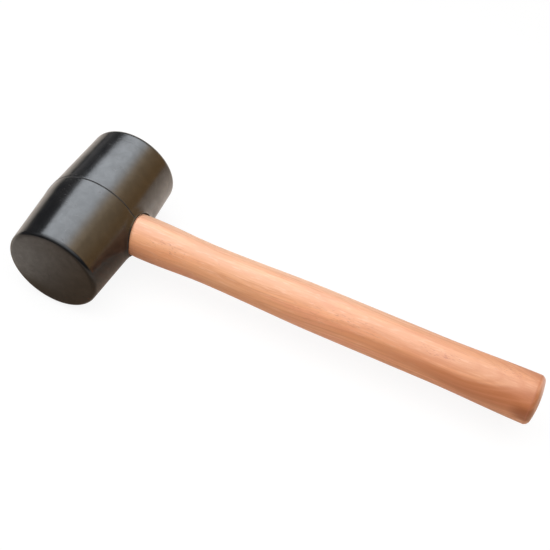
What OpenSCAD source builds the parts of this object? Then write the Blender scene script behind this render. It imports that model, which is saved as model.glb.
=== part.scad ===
// Rubber mallet: a moulded rubber head on a turned hardwood handle.
// The handle's tenon runs right through the head's eye and is spread there
// by a wooden wedge, with a stepped steel wedge driven across it.
//
// The handle lies along X with its butt at +X, and the head's striking axis
// lies along Y. The pieces are drawn round the point where the two axes
// cross, and placed() then puts the origin under the middle of the mallet.

/* [Head] */
// Length of the head from striking face to striking face
head_len = 101; // [70:1:130]
// Diameter of the head at its fullest ring
head_d = 65; // [50:0.5:90]
// Angle at which each half of the head tapers towards its striking face
head_taper = 3.2; // [0.5:0.1:8]
// Radius of the blend between the two tapers, measured along the head
crest_r = 100; // [20:5:300]
// How far the fullest ring lies from the parting line, towards -Y
crest_shift = 4; // [-10:0.5:10]
// Radius of the rounded edge round each striking face
face_edge_r = 2.2; // [0.5:0.1:6]

/* [Parting line] */
// Width of the groove left round the head where the mould's halves met
parting_w = 0.9; // [0.3:0.1:3]
// Depth of the parting groove
parting_depth = 0.35; // [0.1:0.05:1]

/* [Eye] */
// Diameter of the throat, the narrowest place of the eye through the head
throat_d = 24.4; // [18:0.1:30]
// Angle at which the eye opens from its throat to both its mouths
eye_taper = 2.1; // [0.5:0.1:5]
// Width of the bevel round each mouth of the eye
mouth_bevel = 1; // [0.3:0.1:2.5]

/* [Handle] */
// Distance from the middle of the head to the handle's butt
handle_reach = 294.6; // [260:0.1:400]
// How far the handle goes on widening outside the head before it slims down
shoulder_out = 1; // [0:0.5:8]
// Diameter of the slim waist behind the head
waist_d = 24.7; // [18:0.1:30]
// Distance from the middle of the head to the waist
waist_x = 81; // [55:1:110]
// Diameter of the straight grip
grip_d = 27.9; // [22:0.1:36]
// Distance from the middle of the head to the start of the grip
grip_x = 159; // [125:1:180]
// Length of the straight part of the grip
grip_len = 69; // [30:1:75]
// Diameter of the flared butt
butt_d = 30.5; // [24:0.1:42]
// Radius of the rounded edge of the butt
butt_edge_r = 4.2; // [1:0.1:10]
// Radius of the shallow dome of the butt's end
butt_dome_r = 60; // [30:5:400]

/* [Tenon] */
// How far the tenon's end lies below the fullest ring of the head
tenon_sunk = 2.6; // [0:0.1:6]
// Width of the bevel round the tenon's end
tenon_bevel = 0.8; // [0.2:0.1:2]
// Width of the saw cut at its blind end
saw_cut = 1.6; // [0.8:0.1:3]
// How far the saw cut runs on past the wooden wedge's tip
saw_reach = 8; // [2:0.5:12]

/* [Wooden wedge] */
// Thickness of the wooden wedge at its driven end
wedge_thick = 5; // [3.4:0.1:8]
// Length of the wooden wedge
wedge_len = 38; // [24:1:44]

/* [Steel wedge] */
// Thickness of the steel wedge at its driven end
steel_thick = 3.2; // [2:0.1:5]
// Thickness of the steel wedge at its tip
steel_tip = 0.6; // [0.3:0.1:1.5]
// Width of the steel wedge, across the wooden one
steel_w = 16; // [9:0.5:18]
// Length of the steel wedge
steel_len = 22; // [12:1:30]
// Number of steps down each side of the steel wedge
steel_steps = 4; // [1:1:6]
// Height of each step, which holds the steel wedge in the wood
step_h = 0.3; // [0.1:0.05:0.6]

/* [Hidden] */
$fn = 96;

rubber = [0.25, 0.23, 0.22];
beech = [0.93, 0.74, 0.58];
wedge_wood = [0.80, 0.60, 0.42];
steel = [0.62, 0.63, 0.65];

drive_fit = 0;      // clearance between the tenon and the eye, which is driven tight
past = 1;           // how far a cutting shape runs past what it cuts
edge_steps = 8;     // flats along a rounded edge
curve_steps = 12;   // bands along each curve of the handle
dome_steps = 3;     // bands of the dome of the butt
mouth_steps = 48;   // flats round each mouth of the eye

head_half = head_len / 2;
crest_half = crest_r * sin(head_taper);
crest_end_r = head_d / 2 - crest_r * (1 - cos(head_taper));
tenon_end = tenon_sunk - head_d / 2;
shoulder_x = head_d / 2 + shoulder_out;
grip_end = grip_x + grip_len;
saw_depth = wedge_len + saw_reach;
across = 2 * head_d;

// Points along an arc round a centre, between two angles.
function arc(centre, r, from, to, steps) =
    [for (i = [0:steps]) let (a = from + (to - from) * i / steps) centre + r * [cos(a), sin(a)]];

// A smooth step from 0 to 1 that starts and ends level.
function ease(t) = t * t * (3 - 2 * t);

// A curve that leaves its start at a slope and arrives level at its end.
function settle(t, run, start, slope, end) =
    start + (end - start) * ease(t) + run * slope * t * (1 - t) * (1 - t);

// Radius of the head at a distance along it from the middle: on its tapers, and anywhere.
function taper_r(y) = crest_end_r - (abs(y + crest_shift) - crest_half) * tan(head_taper);
function head_r(y) = abs(y + crest_shift) > crest_half
    ? taper_r(y)
    : head_d / 2 - crest_r + sqrt(crest_r * crest_r - pow(y + crest_shift, 2));

// Radius of the eye, and of the tenon that fills it, at a place along X.
function eye_r(x) = throat_d / 2 + abs(x) * tan(eye_taper);

// How far from the eye's axis the head's surface lies, at an angle round the eye and a radius.
function saddle_x(angle, r) = sqrt(pow(head_r(r * cos(angle)), 2) - pow(r * sin(angle), 2));

// The bevel's section at an angle round the eye, as [radius, x]. The cut runs on past the
// bevel at both sides, and its third corner stands clear of the head.
function bevel_section(angle) = let (
    low = [mouth_r, saddle_x(angle, mouth_r) - mouth_bevel],
    high = [rim_r, saddle_x(angle, rim_r)],
    run_on = (high - low) / 2)
    [low - run_on, high + run_on, [(low - run_on)[0], (high + run_on)[1] + past]];

// The back of the head reaches furthest beside the eye's bevelled mouth, and the origin lies
// midway between there and the butt.
mouth_r = eye_r(head_d / 2);
rim_r = mouth_r + mouth_bevel;
back_x = max(head_r(-rim_r), head_r(rim_r));
mid_x = (handle_reach - back_x) / 2;

// Centre of the rounded edge of a striking face: -1 is the near face, 1 the far one.
function edge_centre(side) = let (y = side * (head_half - face_edge_r))
    [taper_r(y) - face_edge_r / cos(head_taper), y];

// Outline of the handle from the shoulder to the butt, as [radius, x].
shoulder_curve = [for (i = [0:curve_steps]) let (t = i / curve_steps, run = waist_x - shoulder_x)
    [settle(t, run, eye_r(shoulder_x), tan(eye_taper), waist_d / 2), shoulder_x + run * t]];
grip_curve = [for (i = [1:curve_steps]) let (t = i / curve_steps)
    [waist_d / 2 + (grip_d - waist_d) / 2 * ease(t), waist_x + (grip_x - waist_x) * t]];

// The butt's rounded edge meets the flare and the dome of its end without a corner.
edge_r = butt_d / 2 - butt_edge_r;
dome_angle = asin(edge_r / (butt_dome_r - butt_edge_r));
dome_x = handle_reach - butt_dome_r;
edge_x = dome_x + (butt_dome_r - butt_edge_r) * cos(dome_angle);
butt_curve = [for (i = [0:curve_steps]) let (t = i / curve_steps)
    [grip_d / 2 + (butt_d - grip_d) / 2 * ease(t), grip_end + (edge_x - grip_end) * t]];
butt_end = concat(
    arc([edge_r, edge_x], butt_edge_r, 0, 90 - dome_angle, edge_steps),
    arc([0, dome_x], butt_dome_r, 90 - dome_angle, 90, dome_steps));

// Half the thickness of the saw cut, and of the wedge in it, at a depth below the tenon's end.
function cut_half(depth) = (wedge_thick + (saw_cut - wedge_thick) * depth / saw_depth) / 2;

// Half the thickness of the steel wedge at a depth, at the foot of its steps.
steel_top_half = steel_thick / 2 - step_h;
function steel_half(depth) = steel_top_half + (steel_tip / 2 - steel_top_half) * depth / steel_len;

// Moves the whole mallet so that the origin lies under its middle.
module placed() {
    translate([-mid_x, 0, head_d / 2]) children();
}

// Turns a shape that was spun about Z so that it lies along X.
module along_x() {
    rotate([0, 90, 0]) children();
}

// Turns a shape that was spun about Z so that it lies along Y.
module along_y() {
    rotate([-90, 0, 0]) children();
}

// A plate that is drawn as [x, z] and runs a width along Y.
module plate(width, outline) {
    rotate([90, 0, 0]) linear_extrude(width, center = true) polygon(outline);
}

// The barrel of the head, with its two tapers, its crest and its rounded faces.
module barrel() {
    near = edge_centre(-1);
    far = edge_centre(1);
    // The spin starts on the underside, clear of the eye.
    along_y() rotate([0, 0, 90]) rotate_extrude() difference() {
        polygon(concat(
            [[0, -head_half]],
            arc(near, face_edge_r, -90, -head_taper, edge_steps),
            arc([head_d / 2 - crest_r, -crest_shift], crest_r, -head_taper, head_taper, edge_steps),
            arc(far, face_edge_r, head_taper, 90, edge_steps),
            [[0, head_half]]));
        parting_groove();
    }
}

// Section of the groove at the parting line.
module parting_groove() {
    outside = head_r(0) + past;
    half_w = parting_w / 2 * (parting_depth + past) / parting_depth;
    polygon([[head_r(0) - parting_depth, 0], [outside, -half_w], [outside, half_w]]);
}

// The eye: two tapers that meet at the throat, so both mouths are wider. The spin starts on
// its +Y side, clear of the parting groove.
module eye() {
    end = head_d / 2 + past;
    mouth = eye_r(end) + drive_fit;
    throat = throat_d / 2 + drive_fit;
    along_x() rotate([0, 0, 90]) rotate_extrude()
        polygon([[0, -end], [mouth, -end], [throat, 0], [mouth, end], [0, end]]);
}

// A ring that cuts the bevel round one mouth, where it follows the saddle of the barrel.
module mouth_ring() {
    corners = [for (i = [0:mouth_steps - 1], corner = bevel_section(360 * i / mouth_steps))
        let (angle = 360 * i / mouth_steps)
        [corner[1], corner[0] * cos(angle), corner[0] * sin(angle)]];
    count = len(corners);
    faces = [for (i = [0:mouth_steps - 1], k = [0:2]) let (
        a = 3 * i + k, b = 3 * i + (k + 1) % 3, c = (b + 3) % count, d = (a + 3) % count)
        each [[a, b, c], [a, c, d]]];
    polyhedron(corners, faces);
}

module rubber_head() {
    color(rubber) placed() difference() {
        barrel();
        eye();
        for (side = [0, 1]) mirror([side, 0, 0]) mouth_ring();
    }
}

// The turned handle with its tenon, before the saw cut.
module handle_blank() {
    tenon = [
        [0, tenon_end],
        [eye_r(tenon_end) - tenon_bevel, tenon_end],
        [eye_r(tenon_end + tenon_bevel), tenon_end + tenon_bevel],
        [throat_d / 2, 0]];
    along_x() rotate_extrude()
        polygon(concat(tenon, shoulder_curve, grip_curve, butt_curve, butt_end));
}

// The tapered form of the opened saw cut, down to a depth below the tenon's end.
module saw_taper(depth) {
    top = tenon_end - past;
    tip = tenon_end + depth;
    plate(across, [
        [top, -cut_half(-past)], [top, cut_half(-past)],
        [tip, cut_half(depth)], [tip, -cut_half(depth)]]);
}

module handle() {
    color(beech) placed() difference() {
        handle_blank();
        saw_taper(saw_depth);
        steel_form();
    }
}

// The wooden wedge fills the saw cut across the whole tenon, and is trimmed flush with it.
module wooden_wedge() {
    color(wedge_wood) placed() difference() {
        intersection() {
            handle_blank();
            saw_taper(wedge_len);
        }
        steel_form();
    }
}

// The stepped steel wedge, which stands across the wooden one.
module steel_form() {
    side = [for (i = [0:steel_steps - 1], end = [0, 1]) let (depth = (i + end) * steel_len / steel_steps)
        [tenon_end + depth, steel_half(depth) + (1 - end) * step_h]];
    other = [for (i = [len(side) - 1:-1:0]) [side[i][0], -side[i][1]]];
    rotate([90, 0, 0]) plate(steel_w, concat(side, other));
}

module steel_wedge() {
    color(steel) placed() steel_form();
}

rubber_head();
handle();
wooden_wedge();
steel_wedge();
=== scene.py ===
import bpy
import math
from mathutils import Euler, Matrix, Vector


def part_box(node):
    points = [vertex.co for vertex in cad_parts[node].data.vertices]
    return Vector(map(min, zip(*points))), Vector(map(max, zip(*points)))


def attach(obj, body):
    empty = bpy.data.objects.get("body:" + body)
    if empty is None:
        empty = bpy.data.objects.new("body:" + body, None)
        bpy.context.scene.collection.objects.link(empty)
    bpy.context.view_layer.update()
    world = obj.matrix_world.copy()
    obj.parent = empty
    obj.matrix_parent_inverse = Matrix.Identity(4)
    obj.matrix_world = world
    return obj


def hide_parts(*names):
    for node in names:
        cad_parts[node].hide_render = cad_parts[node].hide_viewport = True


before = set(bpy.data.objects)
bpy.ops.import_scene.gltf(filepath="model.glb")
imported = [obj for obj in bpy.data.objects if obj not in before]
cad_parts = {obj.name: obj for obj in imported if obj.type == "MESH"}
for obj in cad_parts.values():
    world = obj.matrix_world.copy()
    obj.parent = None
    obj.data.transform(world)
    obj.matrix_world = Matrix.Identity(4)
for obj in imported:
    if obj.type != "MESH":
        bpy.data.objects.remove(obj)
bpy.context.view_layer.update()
print("frame: loaded")

headLow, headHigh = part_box("rubber_head")
handleLow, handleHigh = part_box("handle")
middle = (headLow + headHigh) / 2  # where the head's axis and the handle's axis cross
axisX = Vector((1, 0, 0))
axisY = Vector((0, 1, 0))
joinWithin = 0.000004  # points of a spun outline that lie closer than this become one


def clearSelection():
    if bpy.context.object and bpy.context.object.mode == "EDIT":
        bpy.ops.object.mode_set(mode="OBJECT")
    bpy.ops.object.select_all(action="DESELECT")


def pickObject(piece):
    clearSelection()
    piece.select_set(True)
    bpy.context.view_layer.objects.active = piece


def editMesh(piece):
    pickObject(piece)
    bpy.ops.object.mode_set(mode="EDIT")
    bpy.ops.mesh.select_mode(type="VERT")
    bpy.ops.mesh.select_all(action="DESELECT")


def pickVertices(piece, test):
    # selects the vertices that pass the test, in edit mode
    bpy.ops.object.mode_set(mode="OBJECT")
    for vertex in piece.data.vertices:
        vertex.select = test(vertex.co)
    bpy.ops.object.mode_set(mode="EDIT")


def applyModifier(piece, kind, **settings):
    pickObject(piece)
    modifier = piece.modifiers.new(kind.title(), kind)
    for key, value in settings.items():
        setattr(modifier, key, value)
    bpy.ops.object.modifier_apply(modifier=modifier.name)


def settle(piece):
    # puts the place into the mesh, as the CAD nodes have it
    pickObject(piece)
    bpy.ops.object.transform_apply(location=True, rotation=True, scale=True)


def smoothen(piece, degrees):
    pickObject(piece)
    bpy.ops.object.shade_smooth_by_angle(angle=math.radians(degrees))


def ease(t):
    return t * t * (3 - 2 * t)


def arcPoints(centre, radius, start, end, steps):
    # centre and points are (along the axis, out from it)
    angles = [math.radians(start + (end - start) * i / steps) for i in range(steps + 1)]
    return [(centre[0] + radius * math.sin(a), centre[1] + radius * math.cos(a)) for a in angles]


def lathe(name, outline, axis, steps):
    # draws an outline point by point from the axis, then spins it round the axis
    out = Vector((0, 0, -1))
    places = [middle + axis * along + out * radius for along, radius in outline]
    clearSelection()
    bpy.ops.mesh.primitive_plane_add(size=0.001, location=places[0])
    piece = bpy.context.object
    piece.name = name
    settle(piece)
    bpy.ops.object.mode_set(mode="EDIT")
    bpy.ops.mesh.select_mode(type="VERT")
    bpy.ops.mesh.select_all(action="SELECT")
    bpy.ops.mesh.merge(type="CENTER")
    for last, place in zip(places, places[1:]):
        bpy.ops.mesh.extrude_region_move(TRANSFORM_OT_translate={"value": place - last})
    bpy.ops.mesh.select_all(action="SELECT")
    bpy.ops.mesh.spin(steps=steps, angle=math.tau, center=middle, axis=axis)
    bpy.ops.mesh.select_all(action="SELECT")
    bpy.ops.mesh.remove_doubles(threshold=joinWithin)
    bpy.ops.mesh.normals_make_consistent(inside=False)
    bpy.ops.object.mode_set(mode="OBJECT")
    return piece


def cutAway(piece, cutter, operation="DIFFERENCE"):
    applyModifier(piece, "BOOLEAN", object=cutter, operation=operation, solver="EXACT")
    bpy.data.objects.remove(cutter)


def softenEdges(piece, width, degrees):
    applyModifier(
        piece, "BEVEL", width=width, segments=2, limit_method="ANGLE",
        angle_limit=math.radians(degrees))


def finishPiece(piece, node, material):
    piece.data.materials.clear()
    piece.data.materials.append(material)
    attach(piece, "root")
    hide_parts(node)


def newMaterial(name, colour):
    material = bpy.data.materials.new(name)
    material.use_nodes = True
    material.diffuse_color = (*colour, 1)
    return material


def addNode(tree, kind, **settings):
    node = tree.nodes.new(kind)
    for key, value in settings.items():
        setattr(node, key, value)
    return node


def feed(tree, socket, value):
    # a plain value is set on the socket, anything else is linked to it
    if isinstance(value, (int, float)):
        socket.default_value = value
    elif isinstance(value, (tuple, Vector)):
        size = len(socket.default_value)
        socket.default_value = tuple(value) + (1,) * (size - len(value))
    elif value is not None:
        tree.links.new(value, socket)


def maths(tree, operation, first, second=None, third=None, clamp=False):
    node = addNode(tree, "ShaderNodeMath", operation=operation, use_clamp=clamp)
    for socket, value in zip(node.inputs, (first, second, third)):
        feed(tree, socket, value)
    return node.outputs[0]


def chain(tree, operation, first, *others):
    for value in others:
        first = maths(tree, operation, first, value)
    return first


def addUp(tree, *values):
    return chain(tree, "ADD", *values)


def times(tree, *values):
    return chain(tree, "MULTIPLY", *values)


def most(tree, *values):
    return chain(tree, "MAXIMUM", *values)


def weigh(tree, shares, **sources):
    # the sum of the named sources, each times its share
    return addUp(tree, *[times(tree, sources[name], share) for name, share in shares.items()])


def blendColour(tree, factor, first, second):
    node = addNode(tree, "ShaderNodeMix", data_type="RGBA")
    for index, value in ((0, factor), (6, first), (7, second)):
        feed(tree, node.inputs[index], value)
    return node.outputs[2]


def between(tree, value, low, high, start=0.0, end=1.0):
    # start below low, end above high, smooth between them
    node = addNode(tree, "ShaderNodeMapRange", interpolation_type="SMOOTHSTEP")
    for socket, item in zip(node.inputs, (value, low, high, start, end)):
        feed(tree, socket, item)
    return node.outputs[0]


def around(tree, value, centre, inner, outer, strength=1.0):
    # full strength up to the inner distance from the centre, nothing past the outer one
    away = maths(tree, "ABSOLUTE", maths(tree, "SUBTRACT", value, centre))
    return between(tree, away, inner, outer, strength, 0.0)


def moved(tree, coordinates, scale=(1, 1, 1), shift=(0, 0, 0), turn=(0, 0, 0)):
    node = addNode(tree, "ShaderNodeMapping")
    feed(tree, node.inputs["Vector"], coordinates)
    feed(tree, node.inputs["Scale"], scale)
    feed(tree, node.inputs["Location"], shift)
    feed(tree, node.inputs["Rotation"], tuple(math.radians(a) for a in turn))
    return node.outputs[0]


def noise(tree, coordinates, scale, detail, roughness, distortion=0.0):
    node = addNode(tree, "ShaderNodeTexNoise")
    for key, value in (("Vector", coordinates), ("Scale", scale), ("Detail", detail),
                       ("Roughness", roughness), ("Distortion", distortion)):
        feed(tree, node.inputs[key], value)
    return node.outputs["Fac"]


def grown(tree, coordinates, stretch, shift, *settings):
    # noise whose scale differs along and across the grain
    return noise(tree, moved(tree, coordinates, stretch, shift), 1, *settings)


def swinging(tree, level, width):
    # noise, which lies round a half, becomes a shift to both sides of zero
    return times(tree, maths(tree, "SUBTRACT", level, 0.5), width)


def scaled(tree, coordinates, factor):
    node = addNode(tree, "ShaderNodeVectorMath", operation="SCALE")
    feed(tree, node.inputs[0], coordinates)
    feed(tree, node.inputs["Scale"], factor)
    return node.outputs[0]


def splitPlace(tree, coordinates):
    node = addNode(tree, "ShaderNodeSeparateXYZ")
    feed(tree, node.inputs[0], coordinates)
    return node.outputs


def joinPlace(tree, x, y, z):
    node = addNode(tree, "ShaderNodeCombineXYZ")
    for socket, value in zip(node.inputs, (x, y, z)):
        feed(tree, socket, value)
    return node.outputs[0]


def fromMiddle(tree):
    # object coordinates with the head's middle as zero
    place = addNode(tree, "ShaderNodeTexCoord").outputs["Object"]
    return moved(tree, place, shift=tuple(-middle))


def spot(tree, place, centre, size, core=0.3):
    # an egg-shaped zone that fades out from its core to its edge
    node = addNode(tree, "ShaderNodeVectorMath", operation="LENGTH")
    shift = tuple(-c / s for c, s in zip(centre, size))
    feed(tree, node.inputs[0], moved(tree, place, tuple(1 / s for s in size), shift))
    return between(tree, node.outputs["Value"], core, 1, 1.0, 0.0)


def newGroup(name, inputs, outputs):
    group = bpy.data.node_groups.new(name, "ShaderNodeTree")
    for label, value in inputs.items():
        kind = "NodeSocketVector" if value is None else "NodeSocketFloat"
        socket = group.interface.new_socket(name=label, in_out="INPUT", socket_type=kind)
        if value is not None:
            socket.default_value = value
    for label in outputs:
        group.interface.new_socket(name=label, in_out="OUTPUT", socket_type="NodeSocketFloat")
    given = addNode(group, "NodeGroupInput").outputs
    return group, given, addNode(group, "NodeGroupOutput").inputs


def useGroup(tree, group, **values):
    node = addNode(tree, "ShaderNodeGroup", node_tree=group)
    for key, value in values.items():
        feed(tree, node.inputs[key], value)
    return node.outputs


def bump(tree, height):
    # height is in metres
    node = addNode(tree, "ShaderNodeBump")
    node.inputs["Strength"].default_value = 1
    node.inputs["Distance"].default_value = 1
    feed(tree, node.inputs["Height"], height)
    return node.outputs[0]


def startSurface(name, colour):
    material = newMaterial(name, colour)
    tree = material.node_tree
    return material, tree, tree.nodes["Principled BSDF"].inputs, fromMiddle(tree)


view = {
    "fromHead": Vector((0.28441, -0.42621, 0.57440)),  # camera's place from the head's middle
    "turn": (38.992, -3.974, 25.439),
    "lens": 79.27,
    "sensor": 36,
    "nearest": 0.01,
}


def makeCamera():
    lens = bpy.data.cameras.new("camera")
    lens.lens = view["lens"]
    lens.sensor_width = view["sensor"]
    lens.clip_start = view["nearest"]
    camera = bpy.data.objects.new("camera", lens)
    bpy.context.scene.collection.objects.link(camera)
    camera.location = middle + view["fromHead"]
    camera.rotation_euler = Euler([math.radians(a) for a in view["turn"]])
    bpy.context.scene.camera = camera


makeCamera()
print("camera: placed")

# In the tables a span says where a change starts and where it ends, and then the values
# before and after it, where those aren't 0 and 1. A band or a line gives its centre, how far
# from it the fading starts and ends, and its strength where that isn't 1.
wear = {
    "patchNoise": (1, 2.5, 0.5, 0.3),  # noises: scale, detail, roughness and distortion
    "patches": (0.36, 0.66),
    "rubNoise": (1, 2, 0.5),
    "rubStretch": (0.7, 14, 14),
    "rubTurns": ((0, 20, 35), (0, -35, -50)),
    "rubs": (0.64, 0.76),
    "rubbed": (0.45, 0.6),  # rubs gather where the patches' noise is high
    "pitCells": 0.22,
    "pitEdge": (0.05, 0.12, 1.0, 0.0),
    "pitChance": (0.6, 0.95),
    "rippleNoise": (1, 2, 0.5),
}


def makeHandling():
    # what time and hands leave on any surface: soft patches, rub marks, pits and a fine ripple
    sizes = {"PatchSize": 0.02, "RubLength": 0.01, "PitSize": 0.002, "RippleSize": 0.001}
    group, given, result = newGroup(
        "handling", {"Place": None, **sizes}, ["Patches", "Rubs", "Pits", "Ripple"])

    def per(size):
        return scaled(group, given["Place"], maths(group, "DIVIDE", 1, given[size]))

    patches = noise(group, per("PatchSize"), *wear["patchNoise"])
    feed(group, result["Patches"], between(group, patches, *wear["patches"]))
    perRub = per("RubLength")
    strokes = [moved(group, perRub, wear["rubStretch"], turn=turn) for turn in wear["rubTurns"]]
    rubs = most(group, *[between(group, noise(group, stroke, *wear["rubNoise"]), *wear["rubs"])
                         for stroke in strokes])
    feed(group, result["Rubs"], times(group, rubs, between(group, patches, *wear["rubbed"])))
    cells = addNode(group, "ShaderNodeTexVoronoi", feature="F1")
    feed(group, cells.inputs["Vector"], per("PitSize"))
    feed(group, cells.inputs["Scale"], wear["pitCells"])
    chance = splitPlace(group, cells.outputs["Color"])[0]
    inPit = between(group, cells.outputs["Distance"], *wear["pitEdge"])
    feed(group, result["Pits"], times(group, inPit, between(group, chance, *wear["pitChance"])))
    feed(group, result["Ripple"], noise(group, per("RippleSize"), *wear["rippleNoise"]))
    return group


growth = {  # noises: stretch along and across the grain, shift, detail, roughness, distortion
    "bend": ((7, 26, 26), (0, 0, 0), 2, 0.5),
    "wander": 0.01,
    "ringSharpness": 1.6,
    "fibreNoise": ((0.028, 1, 1), (0, 0, 0), 4, 0.62, 0.3),
    "fleckNoise": ((0.3, 1.25, 1.25), (3, 1, 2), 1, 0.4),
    "flecks": (0.6, 0.7),
    "rayNoise": ((22, 70, 70), (5, 0, 4), 2, 0.5),
    "rays": (0.5, 0.66),
    "toneNoise": ((8, 55, 55), (2, 3, 1), 3, 0.55, 0.6),
    "tones": (0.3, 0.7),
    "poreNoise": ((0.05, 3.2, 3.2), (0, 0, 0), 1, 0.4),
    "pores": (0.56, 0.72),
}


def makeTimber():
    # growth rings round a pith that runs along X, with fibres, rays and broad tones
    sizes = {"PithY": 0.05, "PithZ": 0.02, "RingWidth": 0.003, "FibreWidth": 0.0008}
    group, given, result = newGroup(
        "timber", {"Place": None, **sizes},
        ["Rings", "Fibres", "Flecks", "Rays", "Tones", "Pores"])
    place = given["Place"]
    y, z = splitPlace(group, place)[1:3]
    wander = swinging(group, grown(group, place, *growth["bend"]), growth["wander"])
    across = addUp(group, maths(group, "SUBTRACT", y, given["PithY"]), wander)
    up = addUp(group, maths(group, "SUBTRACT", z, given["PithZ"]), wander)
    squares = addUp(group, maths(group, "POWER", across, 2), maths(group, "POWER", up, 2))
    year = maths(group, "DIVIDE", maths(group, "SQRT", squares), given["RingWidth"])
    wave = maths(group, "ABSOLUTE", maths(group, "SINE", times(group, year, math.pi)))
    rings = maths(group, "SUBTRACT", 1, wave, clamp=True)
    feed(group, result["Rings"], maths(group, "POWER", rings, growth["ringSharpness"]))
    fine = scaled(group, place, maths(group, "DIVIDE", 1, given["FibreWidth"]))
    feed(group, result["Fibres"], grown(group, fine, *growth["fibreNoise"]))
    flecks = between(group, grown(group, fine, *growth["fleckNoise"]), *growth["flecks"])
    rays = between(group, grown(group, place, *growth["rayNoise"]), *growth["rays"])
    tones = between(group, grown(group, place, *growth["toneNoise"]), *growth["tones"])
    pores = between(group, grown(group, fine, *growth["poreNoise"]), *growth["pores"])
    feed(group, result["Flecks"], flecks)
    feed(group, result["Rays"], times(group, flecks, rays))
    feed(group, result["Tones"], tones)
    feed(group, result["Pores"], pores)
    return group


handling = makeHandling()
timber = makeTimber()

head = {
    "taper": 3.2,
    "crestRadius": 0.1,
    "crestShift": -0.004,
    "edgeRadius": 0.003,
    "edgeSteps": 10,
    "faceRings": (0, 0.25, 0.5, 0.7, 0.85, 0.95),
    "coarseRows": 0.0012,
    "fineRows": 0.0005,  # rings stand closer together round the eye's mouths
    "fineZone": 0.017,
    "grooveHalf": 0.00045,
    "grooveDepth": 0.00035,
    "grooveForm": (  # shares of the half width and of the depth
        (-1, 0), (-0.7, 0.14), (-0.16, 0.88), (0, 1), (0.16, 0.88), (0.7, 0.14), (1, 0)),
    "lipWidth": 0.0014,  # a low lip stands along the near side of the parting line
    "lipHeight": 0.00003,
    "throat": 0.0122,
    "eyeTaper": 2.1,
    "eyePast": 0.002,
    "eyeRows": 60,
    "mouthRound": 0.0009,
    "roundReach": 2.2,  # in units of the rounding
    "mouthLift": {-1: -0.0001, 1: 0.0007},  # how far the driven handle pushes each mouth out
    "liftReach": 0.0055,
    "spinSteps": 320,
    "eyeSteps": 192,
    "smooth": 40,
}
fullest = (headHigh.z - headLow.z) / 2
halfLength = (headHigh.y - headLow.y) / 2


def headRadius(y):
    slope = math.radians(head["taper"])
    crest = head["crestRadius"]
    off = abs(y - head["crestShift"])
    reach = crest * math.sin(slope)
    lip = (-y - head["grooveHalf"]) / head["lipWidth"]
    raised = head["lipHeight"] * math.sin(math.pi * lip) if 0 < lip < 1 else 0
    if off > reach:
        return fullest - crest * (1 - math.cos(slope)) - (off - reach) * math.tan(slope) + raised
    return fullest - crest + math.sqrt(crest ** 2 - off ** 2) + raised


def eyeRadius(x):
    return head["throat"] + abs(x) * math.tan(math.radians(head["eyeTaper"]))


def headOutline():
    r, slope, steps = head["edgeRadius"], head["taper"], head["edgeSteps"]
    half, deep = head["grooveHalf"], head["grooveDepth"]
    coarse, fine = head["coarseRows"], head["fineRows"]

    def corner(side):
        y = side * (halfLength - r)
        return (y, headRadius(y) - r / math.cos(math.radians(slope)))

    near, far = corner(-1), corner(1)
    farArc = arcPoints(far, r, slope, 90, steps)
    points = [(-halfLength, near[1] * t) for t in head["faceRings"]]
    points += arcPoints(near, r, -90, -slope, steps)
    y = points[-1][0] + coarse
    while y < farArc[0][0] - coarse / 2:
        if abs(y) > half + fine / 2:
            points.append((y, headRadius(y)))
        elif points[-1][0] < 0:
            for place, share in head["grooveForm"]:
                points.append((place * half, headRadius(place * half) - deep * share))
        y += fine if abs(y) < head["fineZone"] else coarse
    return points + farArc + [(halfLength, far[1] * t) for t in reversed(head["faceRings"])]


def eyeOutline():
    reach, rows = fullest + head["eyePast"], head["eyeRows"]
    places = [reach * (i / rows) for i in range(-rows, rows + 1)]
    return [(-reach, 0)] + [(x, eyeRadius(x)) for x in places] + [(reach, 0)]


def buildHead(material):
    piece = lathe("rubberHead", headOutline(), axisY, head["spinSteps"])
    cutAway(piece, lathe("eye", eyeOutline(), axisX, head["eyeSteps"]))
    close = 0.00003

    def onMouth(place):
        x, y, z = place - middle
        offEye = abs(math.hypot(y, z) - eyeRadius(x))
        offBarrel = abs(math.hypot(x, z) - headRadius(y))
        return offEye < close and offBarrel < head["grooveDepth"] + close

    # lifts, opens and rounds both mouths
    spread = 1 + head["mouthRound"] / head["throat"]
    for side in (-1, 1):
        editMesh(piece)
        pickVertices(
            piece, lambda place: (place.x - middle.x) * side > fullest / 2 and onMouth(place))
        bpy.ops.transform.translate(
            value=(side * head["mouthLift"][side], 0, 0), use_proportional_edit=True,
            proportional_edit_falloff="SMOOTH", proportional_size=head["liftReach"])
        bpy.ops.transform.resize(
            value=(1, spread, spread), center_override=middle, use_proportional_edit=True,
            proportional_edit_falloff="SMOOTH",
            proportional_size=head["mouthRound"] * head["roundReach"])
        bpy.ops.object.mode_set(mode="OBJECT")
    smoothen(piece, head["smooth"])
    finishPiece(piece, "rubber_head", material)


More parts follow.
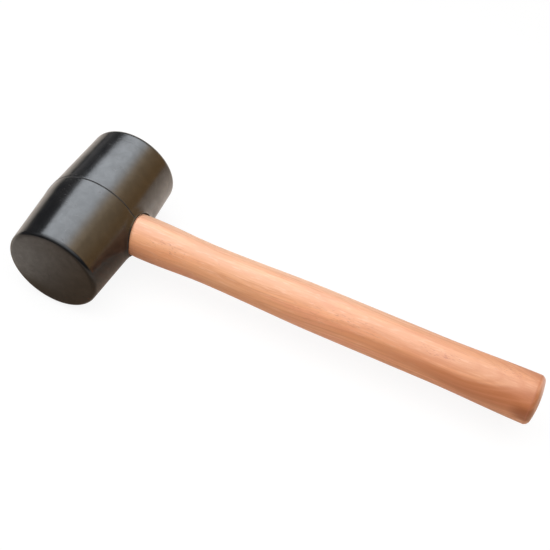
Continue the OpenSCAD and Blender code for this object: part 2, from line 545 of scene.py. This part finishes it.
rubber = {
    "black": (0.007, 0.0067, 0.0065),
    "bloom": (0.0115, 0.0102, 0.0092),
    "bloomShare": 0.8,
    "dust": (0.05, 0.042, 0.034),
    "dustShare": 0.25,
    "wear": {"PatchSize": 0.017, "RubLength": 0.012, "PitSize": 0.0021, "RippleSize": 0.0011},
    "gloss": 0.215,
    "rough": {"patches": 0.04, "rubs": 0.07, "pits": 0.2, "groove": 0.5},
    "roughStart": -0.02,
    "grooveEdge": (0.5, 1.15),  # in units of the groove's half width
    "wax": 0.2,
    "waxNoise": (190, 4, 0.68, 0.6),
    "waxed": (0.34, 0.68),
    "swellNoise": (55, 1, 0.4),
    "insertMark": (0.042, 0.0001, 0.0005),  # where the mould's insert left its faint ring
    "relief": {"swell": 0.00012, "ripple": 0.000006, "patches": 0.00003, "pits": -0.00003,
               "mark": -0.00002},
}


def makeRubber():
    look = rubber
    material, tree, surface, place = startSurface("moulded rubber", look["bloom"])
    marks = useGroup(tree, handling, Place=place, **look["wear"])
    patches, rubs, pits = marks["Patches"], marks["Rubs"], marks["Pits"]
    y = splitPlace(tree, place)[1]
    low, high = [share * head["grooveHalf"] for share in look["grooveEdge"]]
    groove = around(tree, y, 0, low, high)
    bloomed = times(tree, patches, look["bloomShare"])
    colour = blendColour(tree, bloomed, look["black"], look["bloom"])
    colour = blendColour(tree, times(tree, rubs, look["dustShare"]), colour, look["dust"])
    feed(tree, surface["Base Color"], colour)
    rough = weigh(tree, look["rough"], patches=patches, rubs=rubs, pits=pits, groove=groove)
    feed(tree, surface["Roughness"], addUp(tree, rough, look["gloss"] + look["roughStart"]))
    # the film of mould wax lies unevenly
    film = between(tree, noise(tree, place, *look["waxNoise"]), *look["waxed"])
    feed(tree, surface["Coat Weight"], times(tree, film, look["wax"]))
    surface["Coat Roughness"].default_value = look["gloss"]
    height = weigh(
        tree, look["relief"], swell=noise(tree, place, *look["swellNoise"]),
        ripple=marks["Ripple"], patches=patches, pits=pits,
        mark=around(tree, y, *look["insertMark"]))
    feed(tree, surface["Normal"], bump(tree, height))
    return material


handle = {
    "reach": handleHigh.x - middle.x,
    "shoulder": fullest + 0.001,  # just outside the head
    "waistX": 0.081,
    "waist": 0.01235,
    "gripX": 0.159,
    "gripEnd": 0.228,
    "grip": 0.01395,
    "butt": 0.01525,
    "buttEdge": 0.0042,
    "buttCrease": 14,  # angle at which the rounding leaves the flare
    "buttDome": 0.06,
    "tenonEnd": handleLow.x - middle.x,
    "tenonBevel": 0.0008,
    "endRings": (0, 0.3, 0.6, 0.8, 0.92, 1),
    "bevelSteps": 5,
    "tenonRows": 36,
    "curveRows": 48,
    "gripRows": 24,
    "edgeSteps": 16,
    "domeSteps": 8,
    "spinSteps": 160,
    "smooth": 40,
}


def handleOutline():
    h = handle
    end, bevel, shoulder = h["tenonEnd"], h["tenonBevel"], h["shoulder"]
    points = [(end, t * (eyeRadius(end) - bevel)) for t in h["endRings"]]
    bevelCentre = (end + bevel, eyeRadius(end + bevel) - bevel)
    points += arcPoints(bevelCentre, bevel, -90, 0, h["bevelSteps"])[1:]
    for i in range(1, h["tenonRows"]):
        x = end + bevel + (shoulder - end - bevel) * i / h["tenonRows"]
        points.append((x, eyeRadius(x)))
    run = h["waistX"] - shoulder
    shoulderRadius = eyeRadius(shoulder)
    rows = h["curveRows"]
    for i in range(rows + 1):
        t = i / rows
        leave = run * math.tan(math.radians(head["eyeTaper"])) * t * (1 - t) ** 2
        radius = shoulderRadius + leave + (h["waist"] - shoulderRadius) * ease(t)
        points.append((shoulder + run * t, radius))
    for i in range(1, rows + 1):
        t = i / rows
        x = h["waistX"] + (h["gripX"] - h["waistX"]) * t
        points.append((x, h["waist"] + (h["grip"] - h["waist"]) * ease(t)))
    for i in range(1, h["gripRows"]):
        x = h["gripX"] + (h["gripEnd"] - h["gripX"]) * i / h["gripRows"]
        points.append((x, h["grip"]))
    crease = math.radians(h["buttCrease"])
    edgeOut = h["butt"] - h["buttEdge"] * math.cos(crease)
    lean = math.asin(edgeOut / (h["buttDome"] - h["buttEdge"]))
    domeX = h["reach"] - h["buttDome"]
    edgeX = domeX + (h["buttDome"] - h["buttEdge"]) * math.cos(lean)
    creaseX = edgeX + h["buttEdge"] * math.sin(crease)
    for i in range(rows):
        t = i / rows
        x = h["gripEnd"] + (creaseX - h["gripEnd"]) * t
        points.append((x, h["grip"] + (h["butt"] - h["grip"]) * ease(t)))
    domeStart = 90 - math.degrees(lean)
    edge = arcPoints(
        (edgeX, edgeOut), h["buttEdge"], h["buttCrease"], domeStart, h["edgeSteps"])
    dome = arcPoints((domeX, 0), h["buttDome"], domeStart, 90, h["domeSteps"])
    return points + edge + dome[1:]


wedges = {
    "woodThick": 0.005,
    "sawCut": 0.0016,
    "woodLength": 0.038,
    "sawReach": 0.008,
    "steelThick": 0.0032,
    "steelTip": 0.0006,
    "steelWidth": 0.016,
    "steelLength": 0.022,
    "steelSteps": 4,
    "stepHeight": 0.0003,
    "seam": 0.00006,  # what shows between the wedges and the tenon
    "sunk": {"wood": 0.00012, "steel": 0.0003},  # how far each lies below the tenon's end
    "edge": {"wood": 0.00022, "steel": 0.000088},
    "edgeAngle": 50,
    "smooth": 35,
    "cutStart": -0.001,  # cutting shapes start outside the tenon's end
    "cutWidth": 0.06,
}


def sawHalf(depth):
    w = wedges
    share = depth / (w["woodLength"] + w["sawReach"])
    return (w["woodThick"] + (w["sawCut"] - w["woodThick"]) * share) / 2


def sawForm(name, start, depth, extra):
    # the tapered cut between two depths below the tenon's end, wider than the tenon
    end = handle["tenonEnd"]
    close = 0.0001
    clearSelection()
    place = middle + axisX * (end + (start + depth) / 2)
    bpy.ops.mesh.primitive_cube_add(size=1, location=place)
    piece = bpy.context.object
    piece.name = name
    piece.scale = (depth - start, wedges["cutWidth"], 1)
    settle(piece)
    for at in (start, depth):
        editMesh(piece)
        pickVertices(piece, lambda corner: abs(corner.x - middle.x - end - at) < close)
        bpy.ops.transform.resize(
            value=(1, 1, 2 * (sawHalf(at) + extra)), center_override=middle)
    bpy.ops.object.mode_set(mode="OBJECT")
    return piece


def steelForm(name, start, extra):
    # the stepped wedge, drawn out step by step from its driven end
    w = wedges
    top = w["steelThick"] / 2 - w["stepHeight"]

    def foot(depth):
        return top + (w["steelTip"] / 2 - top) * depth / w["steelLength"]

    clearSelection()
    bpy.ops.mesh.primitive_plane_add(
        size=1, location=middle, rotation=(0, math.radians(-90), 0))
    piece = bpy.context.object
    piece.name = name
    thick = 2 * (w["steelThick"] / 2 + extra)
    piece.scale = (w["steelWidth"] + 2 * extra, thick, 1)
    settle(piece)
    bpy.ops.object.mode_set(mode="EDIT")
    bpy.ops.mesh.select_all(action="SELECT")
    bpy.ops.transform.translate(value=(handle["tenonEnd"] + start, 0, 0))
    # each step runs down to its foot, and a ledge then widens the next one
    stages = []
    for i in range(w["steelSteps"]):
        depth = w["steelLength"] * (i + 1) / w["steelSteps"]
        stages += [(depth, 0), (depth, w["stepHeight"])]
    depth = start
    for nextDepth, ledge in stages[:-1]:
        newThick = 2 * (foot(nextDepth) + ledge + extra)
        bpy.ops.mesh.extrude_region_move(
            TRANSFORM_OT_translate={"value": (nextDepth - depth, 0, 0)})
        bpy.ops.transform.resize(value=(1, newThick / thick, 1), center_override=middle)
        depth, thick = nextDepth, newThick
    bpy.ops.mesh.select_all(action="SELECT")
    bpy.ops.mesh.normals_make_consistent(inside=False)
    bpy.ops.object.mode_set(mode="OBJECT")
    return piece


def buildHandle(material):
    w = wedges
    piece = lathe("turnedHandle", handleOutline(), axisX, handle["spinSteps"])
    cutAway(piece, sawForm("sawCut", w["cutStart"], w["woodLength"] + w["sawReach"], w["seam"]))
    cutAway(piece, steelForm("steelSlot", w["cutStart"], w["seam"]))
    smoothen(piece, handle["smooth"])
    finishPiece(piece, "handle", material)


def buildWoodenWedge(material):
    w = wedges
    piece = sawForm("woodenWedge", w["sunk"]["wood"], w["woodLength"], -w["seam"])
    tenonBlank = lathe("tenonBlank", handleOutline(), axisX, handle["spinSteps"])
    cutAway(piece, tenonBlank, "INTERSECT")
    cutAway(piece, steelForm("steelSlot", w["cutStart"], w["seam"]))
    softenEdges(piece, w["edge"]["wood"], w["edgeAngle"])
    smoothen(piece, w["smooth"])
    finishPiece(piece, "wooden_wedge", material)


def buildSteelWedge(material):
    w = wedges
    piece = steelForm("steelWedge", w["sunk"]["steel"], 0)
    softenEdges(piece, w["edge"]["steel"], w["edgeAngle"])
    smoothen(piece, w["smooth"])
    finishPiece(piece, "steel_wedge", material)


beech = {  # x is from the head's axis, y and z are from the handle's axis
    "pale": (0.9, 0.48, 0.265),
    "amber": (0.9, 0.405, 0.2),
    "rose": (0.88, 0.39, 0.235),
    # this colour is heartwood and painted shade along the sides
    "heartAndShade": (0.5, 0.165, 0.062),
    "line": (0.62, 0.24, 0.11),
    # this colour is painted light along the back of the top
    "light": (0.93, 0.6, 0.41),
    # this colour is painted shade over the lit top
    "shadedBand": (0.7, 0.335, 0.195),
    "silver": (0.95, 0.55, 0.36),
    "ray": (0.5, 0.17, 0.1),
    "knot": (0.3, 0.08, 0.02),
    "cut": (0.55, 0.32, 0.17),
    "capHighlight": (0.93, 0.55, 0.44),
    "grain": {"PithY": 0.012, "PithZ": -0.046, "RingWidth": 0.0021, "FibreWidth": 0.0008},
    "wear": {"PatchSize": 0.03, "RubLength": 0.03, "PitSize": 0.003, "RippleSize": 0.004},
    "climbs": ((0.11, 0.2, 0, 0.006), (0.245, 0.3, 0, 0.0065)),  # how the grain rises along x
    "unrest": ((12, 120, 120), (0, 0, 0), 4, 0.62),
    "amberY": (0.001, 0.008),
    "amberX": (0.17, 0.26),
    "blushNoise": ((15, 75, 75), (1, 4, 2), 3, 0.55, 0.4),
    "blush": (0.46, 0.66),
    "blushY": (0.0005, 0.005, 0.75, 0.35),
    "lightY": (-0.001, 0.009, 0.0, 0.75),
    "lightX": (0.17, 0.27, 1.0, 0.0),
    "shadedBandWaver": 0.003,
    "shadedBandPlace": (-0.0043, 0.0008, 0.0055, 0.5),
    "streakNoise": ((16, 520, 520), (3, 1, 5), 4, 0.62, 0.4),
    "streaks": (0.5, 0.66, 0, 0.4),
    "silverNoise": ((110, 950, 950), (2, 6, 1), 2, 0.5),
    "silvery": (0.54, 0.68, 0, 0.5),
    "heartWaver": 0.009,
    "heartAndShadeTop": (0.001, 0.0065, 1.0, 0.0),
    "heartAndShadeFoot": ((0.19, 0.27, -0.006, -0.013), (0.19, 0.27, 0.002, -0.005)),  # sinks along x
    "heartAndShadeX": ((0.07, 0.17, 0.1, 0.34), (0.15, 0.275, 0, 0.64)),
    "heartAndShadeEnd": (0.19, 0.285, 0.0, 0.34),
    "ringLevel": (0.0035, 0.0105, 0.6, 0.15),
    "ringX": (0.08, 0.2, 0.5, 1.0),
    "fibres": (0.36, 0.7),
    "flecked": (  # centre and size of the places where short dark flecks gather
        ((0.061, -0.008, 0.0102), (0.024, 0.006, 0.006)),
        ((0.178, -0.0065, 0.0123), (0.022, 0.0045, 0.0045)),
        ((0.236, -0.0052, 0.013), (0.024, 0.0055, 0.0055)),
        ((0.272, 0.0013, 0.0149), (0.016, 0.006, 0.006)),
        ((0.13, 0.004, -0.0125), (0.03, 0.006, 0.006)),
    ),
    "knotPlace": ((0.2905, -0.0149, 0.0034), (0.014, 0.008, 0.0065)),
    "creaseShadeLine": (-0.0043, 0.0001, 0.0006, 0.35),  # from the butt's end
    "bareEnd": (0.0001, 0.0012, 1.0, 0.0),  # from the tenon's end
    "buttEnd": (-0.0042, -0.0015, 0.0, 0.3),  # from the butt's end
    "capHighlightEnd": (-0.0041, -0.0028, 0.0, 0.55),  # from the butt's end too
    "capHighlightY": (-0.007, 0.003),
    "shares": {"fibres": 0.3, "rays": 0.5, "flecks": 0.6, "knot": 0.8, "cut": 0.6, "pores": 0.5},
    "gloss": 0.43,
    "rough": {"patches": 0.05, "rubs": 0.06, "fibres": 0.05, "bare": 0.3},
    "roughStart": -0.04,
    "relief": {"fibres": 0.000018, "rings": -0.000006, "flecks": -0.000014,
               "ripple": 0.00002, "pores": -0.00006},
}


def makeBeech():
    look, shares = beech, beech["shares"]
    material, tree, surface, place = startSurface("lacquered beech", look["pale"])
    x, y, z = splitPlace(tree, place)
    # the grain runs level under the shoulder, climbs along the grip and again at the butt
    climb = addUp(tree, *[between(tree, x, *span) for span in look["climbs"]])
    level = maths(tree, "SUBTRACT", z, climb)
    grain = joinPlace(tree, x, y, level)
    wood = useGroup(tree, timber, Place=grain, **look["grain"])
    marks = useGroup(tree, handling, Place=place, **look["wear"])
    unrest = grown(tree, grain, *look["unrest"])

    def along(key):
        return between(tree, x, *look[key])

    def streaky(noiseKey, levelsKey):
        return between(tree, grown(tree, grain, *look[noiseKey]), *look[levelsKey])

    def fromEnd(end, low, high, *values):
        return between(tree, x, end + low, end + high, *values)

    amber = times(tree, between(tree, y, *look["amberY"]), along("amberX"))
    amber = most(tree, wood["Tones"], amber)
    blush = times(tree, streaky("blushNoise", "blush"), between(tree, y, *look["blushY"]))
    # painted light: the back of the top, nearer the head, is painted paler, as if lit more
    light = times(tree, between(tree, y, *look["lightY"]), along("lightX"))
    # a strip of painted shade darkens the wood a little before the top, where the light falls
    # strongest, and fine streaks run all over
    wavy = addUp(tree, y, swinging(tree, unrest, look["shadedBandWaver"]))
    shadedBand = around(tree, wavy, *look["shadedBandPlace"])
    # darker heartwood lies along both sides below the top and spreads towards the butt, and it
    # also carries painted shade there, where less light falls
    waver = swinging(tree, unrest, look["heartWaver"])
    depth = addUp(tree, level, waver)
    foot = [between(tree, x, *span) for span in look["heartAndShadeFoot"]]
    strength = addUp(tree, *[between(tree, x, *span) for span in look["heartAndShadeX"]])
    heartAndShade = times(
        tree, between(tree, depth, *look["heartAndShadeTop"]), between(tree, depth, *foot), strength)
    heartAndShade = most(tree, heartAndShade, along("heartAndShadeEnd"))
    ringShare = times(tree, between(tree, level, *look["ringLevel"]), along("ringX"))
    fibres = between(tree, wood["Fibres"], *look["fibres"])
    gathered = most(tree, *[spot(tree, place, *zone) for zone in look["flecked"]])
    flecks = most(
        tree, times(tree, wood["Flecks"], gathered), times(tree, wood["Rays"], shares["rays"]))
    knot = spot(tree, joinPlace(tree, x, y, addUp(tree, z, waver)), *look["knotPlace"])
    # painted shade: a thin dark line is painted round the butt where its rounding leaves the
    # flare
    offCrease, *creaseEdge = look["creaseShadeLine"]
    crease = around(tree, x, handle["reach"] + offCrease, *creaseEdge)
    # end grain at the butt and bare wood at the sawn tenon, and a painted highlight, paler pink,
    # on the back half of the butt's rounding
    bare = fromEnd(handle["tenonEnd"], *look["bareEnd"])
    ends = most(tree, bare, fromEnd(handle["reach"], *look["buttEnd"]))
    capHighlight = fromEnd(handle["reach"], *look["capHighlightEnd"])
    capHighlight = times(tree, capHighlight, between(tree, y, *look["capHighlightY"]))
    pores = times(tree, wood["Pores"], ends)
    colour = look["pale"]
    for tone, cover in (
            ("amber", amber), ("rose", blush), ("light", light), ("shadedBand", shadedBand),
            ("line", streaky("streakNoise", "streaks")),
            ("silver", streaky("silverNoise", "silvery")), ("heartAndShade", heartAndShade),
            ("line", times(tree, wood["Rings"], ringShare)),
            ("line", times(tree, fibres, shares["fibres"])),
            ("ray", times(tree, flecks, shares["flecks"])),
            ("knot", times(tree, knot, shares["knot"])), ("ray", crease), ("capHighlight", capHighlight),
            ("cut", times(tree, ends, shares["cut"])),
            ("ray", times(tree, pores, shares["pores"]))):
        colour = blendColour(tree, cover, colour, look[tone])
    feed(tree, surface["Base Color"], colour)
    rough = weigh(
        tree, look["rough"], patches=marks["Patches"], rubs=marks["Rubs"], fibres=fibres,
        bare=bare)
    feed(tree, surface["Roughness"], addUp(tree, rough, look["gloss"] + look["roughStart"]))
    height = weigh(
        tree, look["relief"], fibres=wood["Fibres"], rings=wood["Rings"], flecks=flecks,
        ripple=marks["Ripple"], pores=pores)
    feed(tree, surface["Normal"], bump(tree, height))
    return material


wedgeWood = {
    "pale": (0.60, 0.37, 0.20),
    "dark": (0.36, 0.19, 0.09),
    "grain": {"PithY": -0.02, "PithZ": 0.05, "RingWidth": 0.0014, "FibreWidth": 0.0007},
    "wear": {"PatchSize": 0.006, "RubLength": 0.006, "PitSize": 0.001, "RippleSize": 0.0006},
    "darkened": {"rings": 0.8, "pores": 0.6, "patches": 0.25},
    "roughStart": 0.6,
    "rough": {"patches": 0.12},
    "relief": {"pores": -0.00008, "fibres": 0.00004, "ripple": 0.00003},
}


def makeWedgeWood():
    look = wedgeWood
    material, tree, surface, place = startSurface("sawn wedge wood", look["pale"])
    wood = useGroup(tree, timber, Place=place, **look["grain"])
    marks = useGroup(tree, handling, Place=place, **look["wear"])
    sources = {"rings": wood["Rings"], "pores": wood["Pores"], "patches": marks["Patches"]}
    colour = look["pale"]
    for name, share in look["darkened"].items():
        colour = blendColour(tree, times(tree, sources[name], share), colour, look["dark"])
    feed(tree, surface["Base Color"], colour)
    rough = weigh(tree, look["rough"], patches=marks["Patches"])
    feed(tree, surface["Roughness"], addUp(tree, rough, look["roughStart"]))
    height = weigh(
        tree, look["relief"], pores=wood["Pores"], fibres=wood["Fibres"], ripple=marks["Ripple"])
    feed(tree, surface["Normal"], bump(tree, height))
    return material


steel = {
    "grey": (0.42, 0.42, 0.42),
    "bright": (0.58, 0.58, 0.57),
    "rust": (0.16, 0.07, 0.03),
    "rustNoise": (420, 4, 0.65),
    "rusty": (0.56, 0.7),
    "rustShare": 0.75,
    "wear": {"PatchSize": 0.004, "RubLength": 0.004, "PitSize": 0.0008, "RippleSize": 0.0007},
    "dulled": -0.8,  # how far rust takes the metal's lustre
    "roughStart": 0.46,
    "rough": {"patches": -0.1, "stain": 0.4},
    "relief": {"ripple": 0.00004, "rubs": -0.00003, "pits": -0.00004},
}


def makeSteel():
    look = steel
    material, tree, surface, place = startSurface("bare mild steel", look["grey"])
    marks = useGroup(tree, handling, Place=place, **look["wear"])
    colour = blendColour(tree, marks["Patches"], look["grey"], look["bright"])
    stain = between(tree, noise(tree, place, *look["rustNoise"]), *look["rusty"])
    stain = times(tree, stain, look["rustShare"])
    feed(tree, surface["Base Color"], blendColour(tree, stain, colour, look["rust"]))
    feed(tree, surface["Metallic"], maths(tree, "MULTIPLY_ADD", stain, look["dulled"], 1))
    rough = weigh(tree, look["rough"], patches=marks["Patches"], stain=stain)
    feed(tree, surface["Roughness"], addUp(tree, rough, look["roughStart"]))
    height = weigh(
        tree, look["relief"], ripple=marks["Ripple"], rubs=marks["Rubs"], pits=marks["Pits"])
    feed(tree, surface["Normal"], bump(tree, height))
    return material


buildHead(makeRubber())
print("rubber head: built")
buildHandle(makeBeech())
print("handle: built")
buildWoodenWedge(makeWedgeWood())
buildSteelWedge(makeSteel())
print("wedges: built")

panels = {
    "away": 0.75,
    # each panel: its direction from the head, its shift and size in panel distances, its radiance
    "sheen": (Vector((0, 0.2, 1)), (-0.0875, -0.06), (1.615, 1.78), (5.65, 6.0, 6.4)),
    "glow": (Vector((0, -0.16, 1)), (0.15, 0), (2.0, 1.1), (2.1, 2.1, 2.08)),
    "fade": (0.075, 0.44),  # the sheen grows dim and warm towards the handle's end
    "faded": (0.15, 0.123, 0.092),
    "front": (0.27, 0.9, 1.0, 0.24),  # it dims towards the near side
    "far": (0.75, 1.0, 1.0, 0.82),  # and a little towards the far end
}


def makePanel(name):
    direction, shift, size, radiance = panels[name]
    lamp = bpy.data.lights.new(name + " panel", "AREA")
    lamp.shape = "RECTANGLE"
    away = panels["away"]
    lamp.size, lamp.size_y = [side * away for side in size]
    strongest = max(radiance)
    lamp.color = [value / strongest for value in radiance]
    lamp.energy = strongest * math.pi * lamp.size * lamp.size_y
    holder = bpy.data.objects.new(name + " panel", lamp)
    bpy.context.scene.collection.objects.link(holder)
    up = direction.normalized()
    holder.location = middle + away * (up + axisX * shift[0] + up.cross(axisX) * shift[1])
    holder.rotation_euler = up.to_track_quat("Z", "Y").to_euler()
    holder.visible_camera = False
    return holder


def makeLamps():
    # the sheen is what glossy surfaces reflect, the glow lights every surface
    sheen = makePanel("sheen")
    sheen.visible_diffuse = False
    sheen.data.use_nodes = True
    tree = sheen.data.node_tree
    lamp = tree.nodes["Emission"].inputs
    acrossX, acrossY = splitPlace(
        tree, addNode(tree, "ShaderNodeNewGeometry").outputs["Parametric"])[:2]
    fade = between(tree, acrossX, *panels["fade"])
    feed(tree, lamp["Color"], blendColour(tree, fade, panels["faded"], (1, 1, 1)))
    front = between(tree, acrossY, *panels["front"])
    far = between(tree, acrossX, *panels["far"])
    feed(tree, lamp["Strength"], times(tree, front, far))
    makePanel("glow").visible_glossy = False


# the floor's shade, glow, spill and bright zones are painted shade and painted light placed round
# the head for reflections
floor = {  # x and y are from the head's middle
    "size": 8,
    "seen": (0.14, 0.14, 0.14),  # what the camera sees, where only the shadow shows
    "seenGlow": 0.89,
    "paint": (0.93, 0.84, 0.77),
    "shade": (0.41, 0.29, 0.2),
    "glow": (0.14, 0.125, 0.11),
    "spill": (0.82, 0.64, 0.5),
    "bright": (1.3, 1.25, 1.2),
    "slant": -0.35,  # the lit floor behind the handle starts along a slanting line
    "backX": (-0.58, -0.18),
    "nearX": (-0.05, 0.012),
    "nearY": (-0.055, -0.045, 1.0, 0.0),
    "underRim": (-0.055, 0.003, 0.010, 0.9),
    "distantX": (-0.045, -0.02, 0.4, 1.0),
    "distantY": (-0.094, -0.068, 0.8, 0.0),
    "besideX": (0.008, 0.034),
    "besideSlant": (-0.02, 0.012, 0.8, 0.0),
    "shadeX": (0.07, 0.16, 1.0, 0.0),
    "buttX": (0.06, 0.24, 0.0, 0.42),
    "spillX": (0.02, 0.08),
    "spillSlant": (0.012, 0.04),
    "brightX": (0.055, 0.09),
    "brightY": ((0.02, 0.05), (0.065, 0.08, 1.0, 0.0)),
    "glowY": (-0.04, 0.0),
    "faceX": (-0.045, -0.012, 1.0, 0.0),
    "faceY": ((-0.062, -0.056, 1.0, 0.0), (-0.1, -0.078), (-0.078, -0.066, 1.5, 3.0)),
}


def makeFloor():
    look = floor
    clearSelection()
    bpy.ops.mesh.primitive_plane_add(size=look["size"], location=(0, 0, 0))
    plane = bpy.context.object
    plane.name = "floor"
    material = newMaterial("pale floor", look["paint"])
    tree = material.node_tree
    tree.nodes.clear()
    output = addNode(tree, "ShaderNodeOutputMaterial")
    path = addNode(tree, "ShaderNodeLightPath").outputs
    x, y = splitPlace(tree, fromMiddle(tree))[:2]
    slant = maths(tree, "MULTIPLY_ADD", x, look["slant"], y)

    def zone(value, key):
        return between(tree, value, *look[key])

    def addShaders(first, second):
        both = addNode(tree, "ShaderNodeAddShader")
        tree.links.new(first.outputs[0], both.inputs[0])
        tree.links.new(second.outputs[0], both.inputs[1])
        return both

    # the paint carries painted shade before and beside the head, most of all in reflections, is
    # pale under the middle of the handle, nearly half painted shade under its butt and painted
    # dark far past the head's back
    before = times(tree, zone(x, "nearX"), zone(y, "nearY"))
    before = most(tree, before, around(tree, y, *look["underRim"]))
    distant = times(tree, zone(y, "distantY"), zone(x, "distantX"), path["Is Glossy Ray"])
    beside = times(tree, zone(x, "besideX"), zone(slant, "besideSlant"), path["Is Glossy Ray"])
    shade = times(tree, most(tree, before, distant, beside), zone(x, "shadeX"))
    colour = blendColour(tree, shade, look["paint"], look["shade"])
    colour = blendColour(tree, zone(x, "buttX"), colour, look["shade"])
    colour = blendColour(tree, zone(x, "backX"), room["dark"], colour)
    paint = addNode(tree, "ShaderNodeBsdfDiffuse")
    feed(tree, paint.inputs[0], colour)
    # reflections also see painted light glowing from the floor, most of it behind the handle and
    # before the face
    spilled = times(tree, zone(x, "spillX"), zone(slant, "spillSlant"))
    colour = blendColour(tree, spilled, look["glow"], look["spill"])
    beyond = [between(tree, y, *span) for span in look["brightY"]]
    beyond = times(tree, zone(x, "brightX"), times(tree, *beyond))
    glow = addNode(tree, "ShaderNodeEmission")
    feed(tree, glow.inputs[0], blendColour(tree, beyond, colour, look["bright"]))
    within = times(tree, zone(x, "backX"), zone(y, "glowY"))
    face = [between(tree, y, *span) for span in look["faceY"]]
    within = most(tree, within, times(tree, *face, zone(x, "faceX")))
    feed(tree, glow.inputs[1], times(tree, within, path["Is Glossy Ray"]))
    seen = addNode(tree, "ShaderNodeBsdfDiffuse")
    feed(tree, seen.inputs[0], look["seen"])
    seenGlow = addNode(tree, "ShaderNodeEmission")
    seenGlow.inputs[1].default_value = look["seenGlow"]
    pick = addNode(tree, "ShaderNodeMixShader")
    tree.links.new(path["Is Camera Ray"], pick.inputs[0])
    tree.links.new(addShaders(paint, glow).outputs[0], pick.inputs[1])
    tree.links.new(addShaders(seen, seenGlow).outputs[0], pick.inputs[2])
    tree.links.new(pick.outputs[0], output.inputs[0])
    plane.data.materials.append(material)


room = {  # radiances, and the spans of the direction's x, y or z in which each one lies
    "dark": (0.045, 0.055, 0.075),
    "fill": (0.25, 0.245, 0.24),
    "warmLow": (1.22, 0.7, 0.27),
    "warmHigh": (1.95, 1.4, 0.83),
    "warmX": (0.1, 0.45),
    "warmY": (-0.1, 0.25),
    "warmRise": (0.1, 0.75),
    "back": (0.55, 0.5, 0.46),
    "backY": (0.7, 0.95),
    "frontTop": (1.3, 1.4, 1.5),
    "frontTopY": (-0.25, -0.02, 1.0, 0.0),
    "frontTopZ": (0.3, 0.9),
    "backLow": (0.45, 0.45, 0.47),
    "backLowY": (0.5, 0.62),
    "backLowZ": (0.0, 0.35, 1.0, 0.0),
    "backGlow": (1.5, 1.45, 1.4),
    "backGlowY": (0.76, 0.9),
    "backGlowZ": (0.1, 0.4, 1.0, 0.0),
}


def makeWorld():
    # reflections see the room, matt surfaces a faint even fill, and the camera plain white
    world = bpy.data.worlds.new("studio")
    bpy.context.scene.world = world
    world.use_nodes = True
    tree = world.node_tree
    tree.nodes.clear()
    output = addNode(tree, "ShaderNodeOutputWorld")
    path = addNode(tree, "ShaderNodeLightPath").outputs
    x, y, z = splitPlace(tree, addNode(tree, "ShaderNodeTexCoord").outputs["Generated"])
    colour = blendColour(tree, between(tree, y, *room["backY"]), room["dark"], room["back"])
    for wall in ("frontTop", "backLow", "backGlow"):
        where = times(
            tree, between(tree, y, *room[wall + "Y"]), between(tree, z, *room[wall + "Z"]))
        colour = blendColour(tree, where, colour, room[wall])
    rise = between(tree, z, *room["warmRise"])
    warm = blendColour(tree, rise, room["warmLow"], room["warmHigh"])
    where = times(tree, between(tree, x, *room["warmX"]), between(tree, y, *room["warmY"]))
    colour = blendColour(tree, where, colour, warm)
    lit = blendColour(tree, path["Is Glossy Ray"], room["fill"], colour)
    seen = blendColour(tree, path["Is Camera Ray"], lit, (1, 1, 1))
    background = addNode(tree, "ShaderNodeBackground")
    tree.links.new(seen, background.inputs[0])
    tree.links.new(background.outputs[0], output.inputs[0])


makeLamps()
makeFloor()
makeWorld()
bpy.context.scene.view_settings.view_transform = "Standard"
print("studio: lit")
